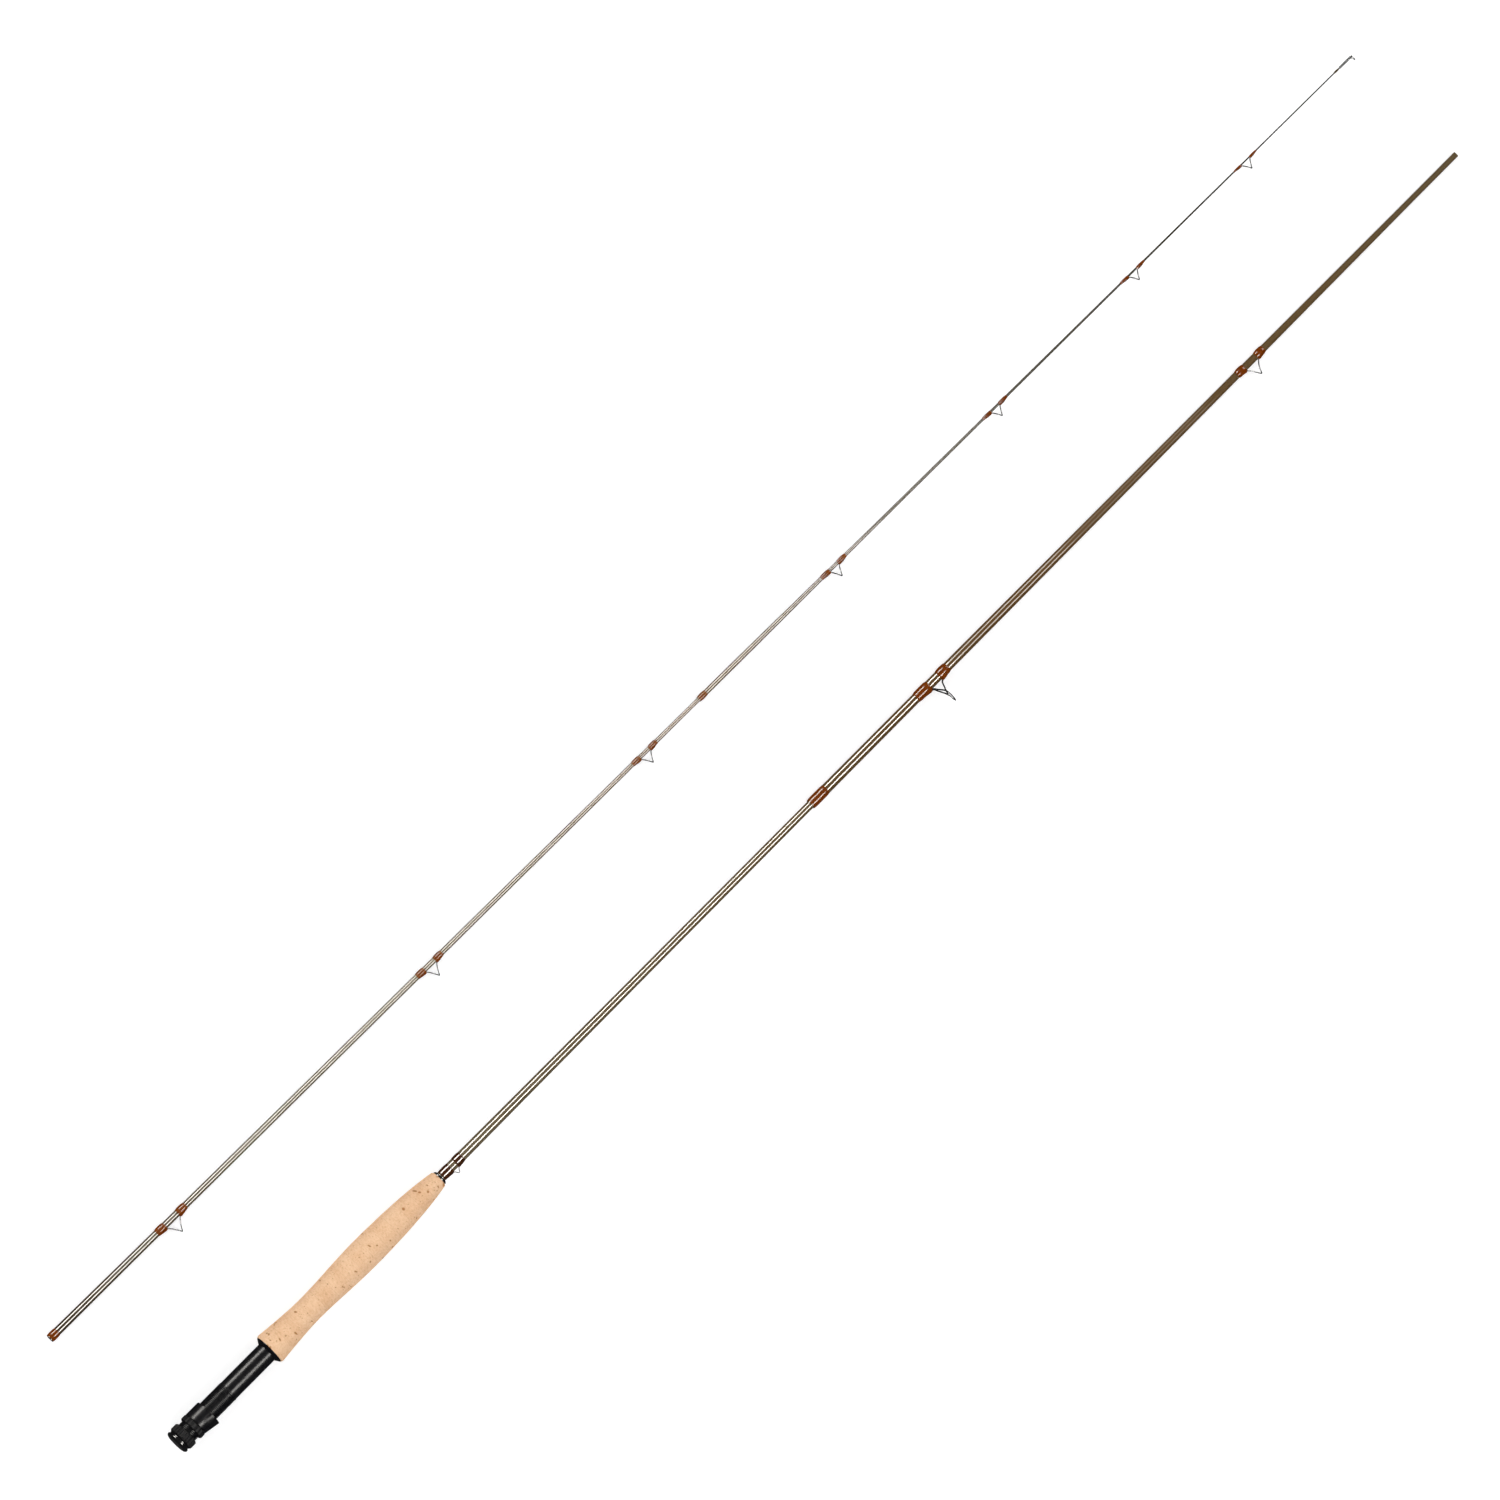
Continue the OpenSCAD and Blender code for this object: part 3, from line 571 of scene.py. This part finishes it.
def wrap(shape, taper, span, varnish, thin=0.0, thick=0.0, towards=0):
    """Thread bound round the blank, and over a guide foot that thickens towards +X or -X.

    Where there is a foot, the thread bridges from it to the blank, so each section is the hull
    of the blank's circle and the foot's.
    """
    x0, x1 = span
    fall = min(END_FALL, (x1 - x0) / 2)
    rings = []
    for x in steps(x0, x1, WRAP_STEP):
        rise = 1 - (1 - min(1.0, min(x - x0, x1 - x) / fall)) ** 3
        core = taper(x)
        outer = core + varnish * rise + 0.01
        foot_r = 0.0
        if towards:
            share = (x - x0) / (x1 - x0) if towards > 0 else (x1 - x) / (x1 - x0)
            drop = FOOT_DROP * max(0.0, (share - FOOT_PEAK) / (1 - FOOT_PEAK)) ** 2
            foot_r = lerp(thin, thick, min(1.0, share / FOOT_PEAK)) * (1 - drop)
        ring = []
        for k in range(WRAP_SIDES):
            a = 2 * math.pi * k / WRAP_SIDES
            if core * math.cos(a) + foot_r > outer:
                ring.append((x, -core - foot_r * math.cos(a), foot_r * math.sin(a)))
            else:
                ring.append((x, -outer * math.cos(a), outer * math.sin(a)))
        rings.append(ring)
    for x in (x1, x0):
        rings.append([(x, -y, z) for _, y, z in circle_ring(x, taper(x), WRAP_SIDES)])
    shape.hoop(rings)


def foot_wraps(node, taper, slot_name):
    """The two wraps that bind a guide's feet, each thickest towards the guide."""
    low, high = own_box(node)
    surface = taper(low.x)
    thick = -low.y - surface
    shape = Shape()
    rear, front = own_spans(node)
    wrap(shape, taper, rear, high.y - surface, FOOT_THIN, thick, towards=1)
    wrap(shape, taper, front, high.y - surface, FOOT_THIN, thick, towards=-1)
    shape.piece(node.replace("wraps", "windings"), node, slot_name)


def plain_wrap(node, taper, slot_name):
    low, high = own_box(node)
    shape = Shape()
    wrap(shape, taper, (low.x, high.x), high.y - taper(low.x))
    shape.piece(node.replace("wrap", "winding"), node, slot_name)


# ---------------------------------------------------------------- snake guides

SNAKE_WIRE_R = 0.45
FOOT_TIP_R = 0.12
FOOT_CLEAR = 0.02  # between a foot and the blank under it
LOOP_STEPS = 72
NECKING = 2.4  # how sharply the two legs draw together towards the top of the loop


def snake_guide(node, taper):
    """A snake guide bent from one wire: two feet, and a twisted loop that stands off the blank."""
    low, high = own_box(node)
    rear, front = own_spans(node + "_wraps")
    centre = (rear[1] + front[0]) / 2
    gap = (front[0] - rear[1]) / 2
    loop_w = high.z - SNAKE_WIRE_R
    surface = taper(low.x)
    rest = surface + SNAKE_WIRE_R + FOOT_CLEAR
    tip_rest = surface + FOOT_TIP_R + FOOT_CLEAR
    reach = -low.y - SNAKE_WIRE_R - rest
    foot = (high.x - low.x) / 2 - FOOT_TIP_R * CAP_REACH
    path = []
    for side in (-1, 1):
        half = []
        for t in steps(0, 1, 0.125):
            half.append((centre + side * lerp(foot, gap + 1, t), -lerp(tip_rest, rest, min(1, 2 * t)), 0))
        for i in range(LOOP_STEPS // 2 + 1):
            u = 1 - 2 * i / LOOP_STEPS
            half.append((
                centre + side * gap * u ** NECKING,
                -rest - reach * math.cos(math.pi / 2 * u),
                side * loop_w * math.sin(math.pi * u),
            ))
        path += half if side < 0 else half[-2::-1]
    radii = [
        lerp(FOOT_TIP_R, SNAKE_WIRE_R, min(1, 2 * min(i, len(path) - 1 - i) / 8)) for i in range(len(path))
    ]
    shape = Shape()
    wire(shape, path, radii)
    shape.piece(node + "_wire", node, "snake_wire")


# ---------------------------------------------------------------- the pieces

SNAKE_TAPERS = [LOWER_R] + 3 * [UPPER_R] + 4 * [TIP_R]
for number, snake_taper in enumerate(SNAKE_TAPERS, 1):
    snake_guide(f"snake_guide_{number}", snake_taper)
    foot_wraps(f"snake_guide_{number}_wraps", snake_taper, "wrap_thread")
foot_wraps("stripping_guide_wraps", LOWER_R, "wrap_thread")
foot_wraps("hook_keeper_wraps", BUTT_R, "keeper_thread")
plain_wrap("lower_mid_ferrule_wrap", LOWER_R, "wrap_thread")
plain_wrap("upper_mid_ferrule_wrap", UPPER_R, "wrap_thread")
plain_wrap("tip_ferrule_wrap", TIP_R, "wrap_thread")
plain_wrap("tip_top_wrap", TIP_R, "tip_thread")


def hook_keeper():
    """A small bail for the fly, bent from thin wire."""
    low, high = own_box("hook_keeper")
    rear, front = own_spans("hook_keeper_wraps")
    wire_r = high.z
    rest = -high.y + wire_r
    top = low.y + wire_r
    a = rear[1]
    b = front[0]
    path = curve([
        (a - 6, -rest, 0), (a - 1, -rest, 0), (a + 0.5, -rest - 0.8, 0), ((a + b) / 2, top, 0),
        (b - 0.5, -rest - 0.8, 0), (b + 1, -rest, 0), (b + 5, -rest, 0),
    ], 10)
    shape = Shape()
    wire(shape, path, [wire_r] * len(path))
    shape.piece("hook_keeper_wire", "hook_keeper", "keeper_wire")


hook_keeper()


STRIP_WIRE_R = 0.6
LEG_STEPS = 12  # points on each stretch of a leg's curve


def feathered(shape, path):
    """A leg of wire that thins to its foot's tip over the curve's first stretch."""
    wire(shape, path, [lerp(FOOT_TIP_R, STRIP_WIRE_R, min(1, i / LEG_STEPS)) for i in range(len(path))])


def stripping_frame():
    """The stripping guide's frame: a rounded ring on two rear legs and one front leg."""
    edge = 0.2
    low, high = own_box("stripping_guide_frame")
    ring_low, ring_high = own_box("stripping_guide_ring")
    rear, front = own_spans("stripping_guide_wraps")
    centre_x = (ring_low.x + ring_high.x) / 2
    centre_y = (ring_low.y + ring_high.y) / 2
    inner = (ring_high.z - ring_low.z) / 2 + 0.02
    outer = centre_y - low.y
    half = (ring_high.x - ring_low.x) / 2 - 0.05
    corners = [(-half, inner), (-half, outer), (half, outer), (half, inner)]
    outline = []
    for i, (x, r) in enumerate(corners):
        mid_r = r + edge * (1 if r == inner else -1)
        mid_x = x - math.copysign(edge, x)
        for k in range(5):
            a = (1 - i) * math.pi / 2 - k * math.pi / 8
            outline.append((mid_x + edge * math.cos(a), mid_r + edge * math.sin(a)))
    sides = 72
    shape = Shape()
    rings = []
    for x, r in outline:
        rings.append([(centre_x + x, centre_y + y, z) for _, y, z in circle_ring(x, r, sides)])
    shape.hoop(rings)
    rest = LOWER_R(rear[0]) + STRIP_WIRE_R + FOOT_CLEAR
    tip_rest = LOWER_R(rear[0]) + FOOT_TIP_R + FOOT_CLEAR
    side_r = inner + STRIP_WIRE_R
    side_y = centre_y + side_r * 0.5
    side_z = side_r * math.sqrt(0.75)
    near_y = centre_y + (inner + outer) / 2
    for side in (-1, 1):
        path = curve([
            (rear[0] + 1.5, -tip_rest, side * 0.2), (rear[1] - 4, -rest, side * 0.62),
            (rear[1], -rest - 0.3, side * 0.75), (rear[1] + 1.6, -rest - 3, side * 1.9),
            (centre_x - 1.1, side_y + 2.4, side * (side_z - 0.9)), (centre_x - 0.3, side_y, side * side_z),
        ], LEG_STEPS)
        feathered(shape, path)
    path = curve([
        (front[1] - 1.5, -tip_rest, 0), (front[0] + 3, -rest, 0), (front[0] - 0.8, -rest - 0.9, 0),
        (centre_x + 1.4, near_y + 2.2, 0), (centre_x + 0.4, near_y, 0),
    ], LEG_STEPS)
    feathered(shape, path)
    shape.piece("stripping_guide_bracket", "stripping_guide_frame", "black_frame")


stripping_frame()


def tip_top():
    """The tip-top's wire ring and the two braces that carry it."""
    wire_r = 0.4
    brace_r = 0.28
    low, high = own_box("tip_top_ring")
    tube_low, tube_high = own_box("tip_top_tube")
    plane_x = high.x - wire_r
    ring_r = (high.z - low.z) / 2 - wire_r
    centre_y = low.y + wire_r + ring_r
    shape = Shape()
    sides = 48
    rings = []
    for k in range(sides):
        a = 2 * math.pi * k / sides
        rings.append([
            (
                plane_x + wire_r * math.cos(b),
                centre_y + (ring_r + wire_r * math.sin(b)) * math.cos(a),
                (ring_r + wire_r * math.sin(b)) * math.sin(a),
            )
            for b in [2 * math.pi * i / WIRE_SIDES for i in range(WIRE_SIDES)]
        ])
    shape.hoop(rings)
    brace_z = tube_high.z + brace_r + FOOT_CLEAR
    for side in (-1, 1):
        path = curve([
            (tube_low.x + 3, 0, side * brace_z), (tube_low.x + 8, -0.2, side * brace_z),
            (plane_x - 1.5, centre_y + 0.7, side * (brace_z + 0.3)), (plane_x - 0.1, centre_y, side * ring_r),
        ], LEG_STEPS)
        wire(shape, path, [brace_r] * len(path), side=Vector((0, 1, 0)))
    shape.piece("tip_top_loop", "tip_top_ring", "tip_top_metal")


tip_top()

# ---------------------------------------------------------------- cork grip

CORK_STEP = 0.45
CORK_SIDES = 176
PIT_COUNT = 260
SEAM_DEPTH = 0.02
SEAM_HALF = 0.25  # half the width of the line between two cork rings
SLEEVE_R = 11.25  # of the pocket that the fixed hood is let into


def cork_grip():
    """The grip as one sanded surface, with pits sunk where the cork's pores open."""
    low, high = own_box("cork_grip")
    profile = Taper("cork_grip")
    dice = random.Random(11)
    length = high.x - low.x
    pits = []
    for _ in range(PIT_COUNT):
        size = 0.25 + 0.9 * dice.random() ** 5
        pits.append((
            low.x + dice.random() * length, dice.random() * 2 * math.pi,
            size * (0.6 + 0.5 * dice.random()), size * (0.8 + 1.2 * dice.random()),
            0.12 + 0.3 * size * dice.random(), dice.uniform(-0.5, 0.5),
        ))
    xs = steps(low.x, high.x, CORK_STEP)
    columns = {}
    for pit in pits:
        columns.setdefault(int(pit[0] // 4), []).append(pit)
    shape = Shape()
    rings = []
    for x in xs:
        near = [p for c in range(int(x // 4) - 1, int(x // 4) + 2) for p in columns.get(c, [])]
        ring = []
        radius = profile(x)
        into_ring = ((x - low.x) / length * CORK_RINGS) % 1
        from_seam = min(into_ring, 1 - into_ring) * length / CORK_RINGS
        seam = SEAM_DEPTH if from_seam < SEAM_HALF else 0
        for k in range(CORK_SIDES):
            a = 2 * math.pi * k / CORK_SIDES
            sunk = 0.0
            shade = 0.0
            for px, pa, rx, ra, depth, lean in near:
                around = ((a - pa + math.pi) % (2 * math.pi) - math.pi) * radius
                along = x - px + lean * around
                d = (along / rx) ** 2 + (around / ra) ** 2
                if d < 1.6:
                    sunk = max(sunk, depth * max(0.0, 1 - d) ** 0.5)
                    shade = max(shade, min(1.0, 1.6 - d))
            r = radius - sunk - seam
            ring.append((x, r * math.cos(a), r * math.sin(a)))
            # The pit layer holds how far the cork is darkened in and round each pit, partly pore colour and
            # partly painted shade
            shape.pits.append(shade)
        rings.append(ring)
    bore = BUTT_R(high.x) + 0.05
    pocket_end = own_box("fixed_hood")[1].x
    inner = [(high.x, bore), (pocket_end, bore), (pocket_end, SLEEVE_R), (low.x, SLEEVE_R)]
    for x, r in inner:
        rings.append(circle_ring(x, r, CORK_SIDES))
        shape.pits.extend([0.0] * CORK_SIDES)
    shape.hoop(rings)
    shape.pits.extend(shape.pits[:CORK_SIDES])
    shape.piece("grip_cork", "cork_grip", "cork")


cork_grip()

# ---------------------------------------------------------------- reel seat barrel

THREAD_PITCH = 1.3
THREAD_DEPTH = 0.5
THREAD_SPAN = (5.2, 56.3)  # where the thread starts and ends along the rod
BARREL_SIDES = 96
BARREL_BORE_R = 7.2


def thread_profile(phase):
    """0 at the crest and 1 at the root, with a flat on both."""
    fold = abs(2 * (phase % 1) - 1)
    return max(0.0, min(1.0, (fold - 0.45) / 0.45))


def reel_seat_barrel():
    """The barrel with a true right-hand thread cut along its rear half."""
    low, high = own_box("reel_seat_barrel")
    crest = high.z
    plain = crest - 0.3
    start, end = THREAD_SPAN
    xs = steps(low.x, end + 1, THREAD_PITCH / 10) + steps(end + 1.5, high.x, 4)
    rings = []
    for x in xs:
        fade = max(0.0, min(1.0, (x - start) / 0.8)) * max(0.0, min(1.0, (end - x) / 0.8))
        base = plain if x > end + 0.5 else crest
        ring = []
        for k in range(BARREL_SIDES):
            share = k / BARREL_SIDES
            r = base - THREAD_DEPTH * fade * thread_profile((x - start) / THREAD_PITCH - share)
            ring.append((x, r * math.cos(2 * math.pi * share), r * math.sin(2 * math.pi * share)))
        rings.append(ring)
    rings.append(circle_ring(high.x, BARREL_BORE_R, BARREL_SIDES))
    rings.append(circle_ring(low.x, BARREL_BORE_R, BARREL_SIDES))
    shape = Shape()
    shape.hoop(rings)
    shape.piece("seat_barrel_threaded", "reel_seat_barrel", "seat_aluminium")


reel_seat_barrel()

# ---------------------------------------------------------------- floor, lights and camera

FLOOR_GLOW = 0.6
FLOOR_HALF = 12.0
FLOOR_GAP = 0.0002  # below the rod's lowest point


def floor_material():
    """Matte pale card that looks lit from behind, so that shadows on it stay faint."""
    looks = Looks("floor", (0.6, 0.6, 0.6, 1), 0.9, specular=0.0)
    seen = looks.node("ShaderNodeMath", operation="MULTIPLY")
    looks.feed(looks.node("ShaderNodeLightPath").outputs["Is Camera Ray"], seen.inputs[0])
    seen.inputs[1].default_value = FLOOR_GLOW
    looks.shader.inputs["Emission Color"].default_value = (1, 1, 1, 1)
    looks.feed(seen.outputs[0], looks.shader.inputs["Emission Strength"])
    return looks.material


low_corner, high_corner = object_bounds()
middle = (low_corner + high_corner) / 2

floor_mesh = bpy.data.meshes.new("floor")
floor_mesh.from_pydata(
    [(middle.x + sx * FLOOR_HALF, middle.y + sy * FLOOR_HALF, low_corner.z - FLOOR_GAP)
     for sx, sy in ((-1, -1), (1, -1), (1, 1), (-1, 1))], [], [(0, 1, 2, 3)],
)
floor_mesh.materials.append(floor_material())
floor = bpy.data.objects.new("floor", floor_mesh)
bpy.context.scene.collection.objects.link(floor)
floor.visible_glossy = False


def area_light(name, place, aim, size, radiance, colour=(1, 1, 1), diffuse=True, glossy=True):
    """A rectangular light at a place, its long side along X, of a given brightness per area."""
    lamp = bpy.data.lights.new(name, "AREA")
    lamp.shape = "RECTANGLE"
    lamp.size, lamp.size_y = size
    lamp.energy = radiance * math.pi * size[0] * size[1]
    lamp.color = colour
    made = bpy.data.objects.new(name, lamp)
    bpy.context.scene.collection.objects.link(made)
    made.location = place
    back = (Vector(place) - Vector(aim)).normalized()
    x = square_to(Vector((1, 0, 0)), back)
    made.rotation_euler = Matrix((x, back.cross(x), back)).transposed().to_euler()
    made.visible_camera = False
    made.visible_diffuse = diffuse
    made.visible_glossy = glossy
    return made


LIGHT_AWAY = 2.2
# Each strip light: side, and the angles in degrees from straight up that it spans
STRIPS = ((-1, 29, 48), (1, 42, 63))
# Stretches of the strips along X, in metres from the butt, and their share of the glow
STRIP_RUNS = ((0.15, 1.165, 1.0), (1.165, 1.3, 0.4), (1.3, 1.46, 0.1))
STRIP_GLOW = 40.0
STRIP_TINT = (1.0, 0.97, 0.92)
SOFT_GLOW = 3.1
SOFT_LENGTH = 6.0
END_GLOW = 12.0
END_SIZE = (0.9, 2.0)
END_ANGLE = 50  # degrees from straight up to the light beyond the tips
FILL_GLOW = 0.15  # of the weak light overhead that shows between the strips' reflections
FILL_SIZE = (6.0, 2.4)
for side, from_up, to_up in STRIPS:
    angle = math.radians((from_up + to_up) / 2)
    spread = 2 * LIGHT_AWAY * math.tan(math.radians(to_up - from_up) / 2)
    away = LIGHT_AWAY * Vector((0, side * math.sin(angle), math.cos(angle)))
    for run, (start, end, share) in enumerate(STRIP_RUNS):
        under = Vector(((start + end) / 2, middle.y, middle.z))
        area_light(
            f"strip_{side}_{run}", under + away, under, (end - start, spread), STRIP_GLOW * share, STRIP_TINT,
            diffuse=False,
        )
    area_light(f"soft_{side}", middle + away, middle, (SOFT_LENGTH, spread), SOFT_GLOW, glossy=False)
end_angle = math.radians(END_ANGLE)
end_place = middle + LIGHT_AWAY * Vector((math.sin(end_angle), 0, math.cos(end_angle)))
area_light("beyond_tips", end_place, middle, END_SIZE, END_GLOW, STRIP_TINT, diffuse=False)

area_light(
    "overhead", middle + Vector((0, 0, LIGHT_AWAY)), middle, FILL_SIZE, FILL_GLOW, STRIP_TINT, diffuse=False
)

# The world's brightness as light on surfaces, in reflections, and behind the scene
WORLD_LIT = 0.6
WORLD_MIRRORED = 0.05
WORLD_SEEN = 1.0
world = bpy.data.worlds.new("studio")
bpy.context.scene.world = world
world.use_nodes = True
nodes = world.node_tree.nodes
links = world.node_tree.links
lit = nodes["Background"]
mirrored = nodes.new("ShaderNodeBackground")
seen = nodes.new("ShaderNodeBackground")
for background, strength in ((lit, WORLD_LIT), (mirrored, WORLD_MIRRORED), (seen, WORLD_SEEN)):
    background.inputs["Color"].default_value = (1, 1, 1, 1)
    background.inputs["Strength"].default_value = strength
path_kind = nodes.new("ShaderNodeLightPath")
pick_mirrored = nodes.new("ShaderNodeMixShader")
pick_seen = nodes.new("ShaderNodeMixShader")
links.new(path_kind.outputs["Is Glossy Ray"], pick_mirrored.inputs[0])
links.new(lit.outputs[0], pick_mirrored.inputs[1])
links.new(mirrored.outputs[0], pick_mirrored.inputs[2])
links.new(path_kind.outputs["Is Camera Ray"], pick_seen.inputs[0])
links.new(pick_mirrored.outputs[0], pick_seen.inputs[1])
links.new(seen.outputs[0], pick_seen.inputs[2])
links.new(pick_seen.outputs[0], nodes["World Output"].inputs[0])

ROLL = math.radians(45.2)  # the rod runs from lower left to upper right
TILT = math.radians(7)  # the camera leans back towards the butt end
LENS = 1500.0  # long, so that the far end of the rod looks no smaller than the near end
VIEW_WIDTH = 1.1482 * math.cos(TILT)
VIEW_SHIFT = Vector((-0.0062, 0.00945, 0.0))
cam = bpy.data.cameras.new("camera")
cam.lens = LENS
cam.sensor_width = 36.0
camera = bpy.data.objects.new("camera", cam)
bpy.context.scene.collection.objects.link(camera)
forward = Vector((math.sin(TILT), 0, -math.cos(TILT)))
rod_in_view = Vector((math.cos(TILT), 0, math.sin(TILT)))
across = Vector((0, 1, 0))
right = math.cos(ROLL) * rod_in_view - math.sin(ROLL) * across
up = math.sin(ROLL) * rod_in_view + math.cos(ROLL) * across
target = Vector((middle.x, middle.y, 0)) + VIEW_SHIFT
camera.location = target - forward * (VIEW_WIDTH * LENS / cam.sensor_width)
camera.rotation_euler = Matrix((right, up, -forward)).transposed().to_euler()
cam.clip_end = 1000
bpy.context.scene.camera = camera
bpy.context.scene.view_settings.view_transform = "Standard"
